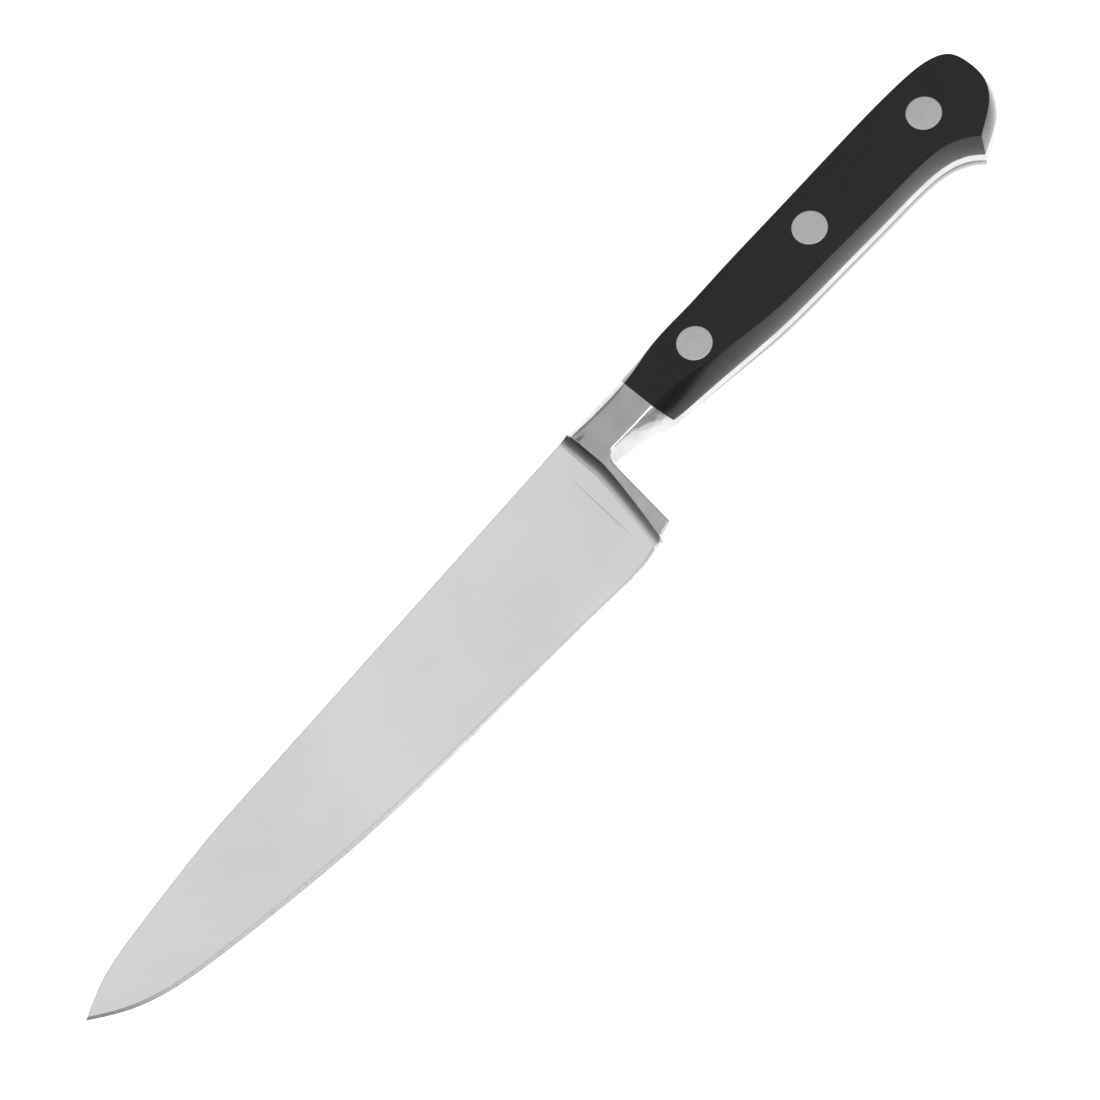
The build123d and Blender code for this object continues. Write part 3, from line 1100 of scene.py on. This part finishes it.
bladeMetal, bolsterMetal = bladeSteel(), bolsterSteel()
scaleBlack, rivetGrey = blackScale(), rivetMetal()
bladePiece = buildBlade(bladeMetal)
print("blade made", len(bladePiece.data.polygons))
bolsterPiece = buildBolster(bolsterMetal)
print("bolster made", len(bolsterPiece.data.polygons))
tangPiece = buildTang(bolsterMetal)
print("tang made", len(tangPiece.data.polygons))
scales = {}
for name, side in (("leftScale", 1), ("rightScale", -1)):
    piece = buildScale(name, scaleBlack, side)
    roundEdges(piece, scaleRounding)
    bakeModifiers(piece)
    cutRivetHoles(piece)
    shadeSmooth(piece, scaleSizes["sharpAngle"])
    scales[name] = piece
    print(name, "made", len(piece.data.polygons))
rivetPiece = buildRivetHeads(rivetGrey)
print("rivet heads made", len(rivetPiece.data.polygons))

for piece in (bladePiece, bolsterPiece, tangPiece):
    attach(piece, "root")
    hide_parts("forged_blade")
for name, node in (("leftScale", "left_scale"), ("rightScale", "right_scale")):
    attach(scales[name], "root")
    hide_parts(node)
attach(rivetPiece, "root")
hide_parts(*(f"{spot}_rivet_{half}" for spot in ("front", "middle", "rear")
                          for half in ("sleeve", "pin")))

studio = {
    "floorSize": 6.0,
    "floorDrop": 0.0002,
    "floorTone": 0.93,
    "floorRough": 0.9,
    "floorGlow": 0.8,
    # the dome's light from the horizon to overhead: at both ends, then (position, strength)
    "ends": (0.13, 0.68),
    "between": ((0.35, 0.13 * 1.6), (0.62, 0.26), (0.85, 0.68)),
    "boxSpot": (0.1, 0.62, 1.0),
    "boxSize": (0.7, 0.35),
    "boxPower": 9.0,
}


def buildFloor():
    material, nodes, links, shader = startMaterial("paleFloor")
    shader.inputs["Base Color"].default_value = (*(studio["floorTone"],) * 3, 1)
    shader.inputs["Roughness"].default_value = studio["floorRough"]
    shader.inputs["Specular IOR Level"].default_value = 0.0
    shader.inputs["Emission Color"].default_value = (1, 1, 1, 1)
    shader.inputs["Emission Strength"].default_value = studio["floorGlow"]
    half, drop = studio["floorSize"] / 2, studio["floorDrop"]
    corners = [(x * half, y * half, -drop) for x, y in ((-1, -1), (1, -1), (1, 1), (-1, 1))]
    floor = addMesh("floor", corners, [(0, 1, 2, 3)], material)


def addSoftbox(name, spot, size, power, aim):
    data = bpy.data.lights.new(name, "AREA")
    data.shape = "RECTANGLE"
    data.size, data.size_y = size
    data.energy = power
    lamp = bpy.data.objects.new(name, data)
    bpy.context.scene.collection.objects.link(lamp)
    lamp.location = spot
    lamp.rotation_euler = (Vector(aim) - Vector(spot)).to_track_quat("-Z", "Y").to_euler()


def lightStudio():
    # pale dome overhead, dim towards the horizon, as over a white table in a darker room
    world = bpy.data.worlds.new("studio")
    bpy.context.scene.world = world
    world.use_nodes = True
    nodes, links = world.node_tree.nodes, world.node_tree.links
    where = nodes.new("ShaderNodeTexCoord")
    split = nodes.new("ShaderNodeSeparateXYZ")
    ramp = nodes.new("ShaderNodeValToRGB")
    stops = ramp.color_ramp.elements
    stops[0].position, stops[1].position = 0.0, 1.0
    for number, value in enumerate(studio["ends"]):
        stops[number].color = (value, value, value, 1)
    for position, value in studio["between"]:
        stop = stops.new(position)
        stop.color = (value, value, value, 1)
    path = nodes.new("ShaderNodeLightPath")
    mix = addNode(nodes, "ShaderNodeMix", data_type="RGBA")
    mix.inputs["B"].default_value = (1, 1, 1, 1)
    links.new(where.outputs["Generated"], split.inputs["Vector"])
    links.new(split.outputs["Z"], ramp.inputs["Fac"])
    links.new(ramp.outputs["Color"], mix.inputs["A"])
    links.new(path.outputs["Is Camera Ray"], mix.inputs["Factor"])
    links.new(mix.outputs["Result"], nodes["Background"].inputs["Color"])
    addSoftbox("frontBox", studio["boxSpot"], studio["boxSize"], studio["boxPower"], (0, 0, 0))


buildFloor()
lightStudio()
bpy.context.scene.view_settings.view_transform = "Standard"
print("studio lit")
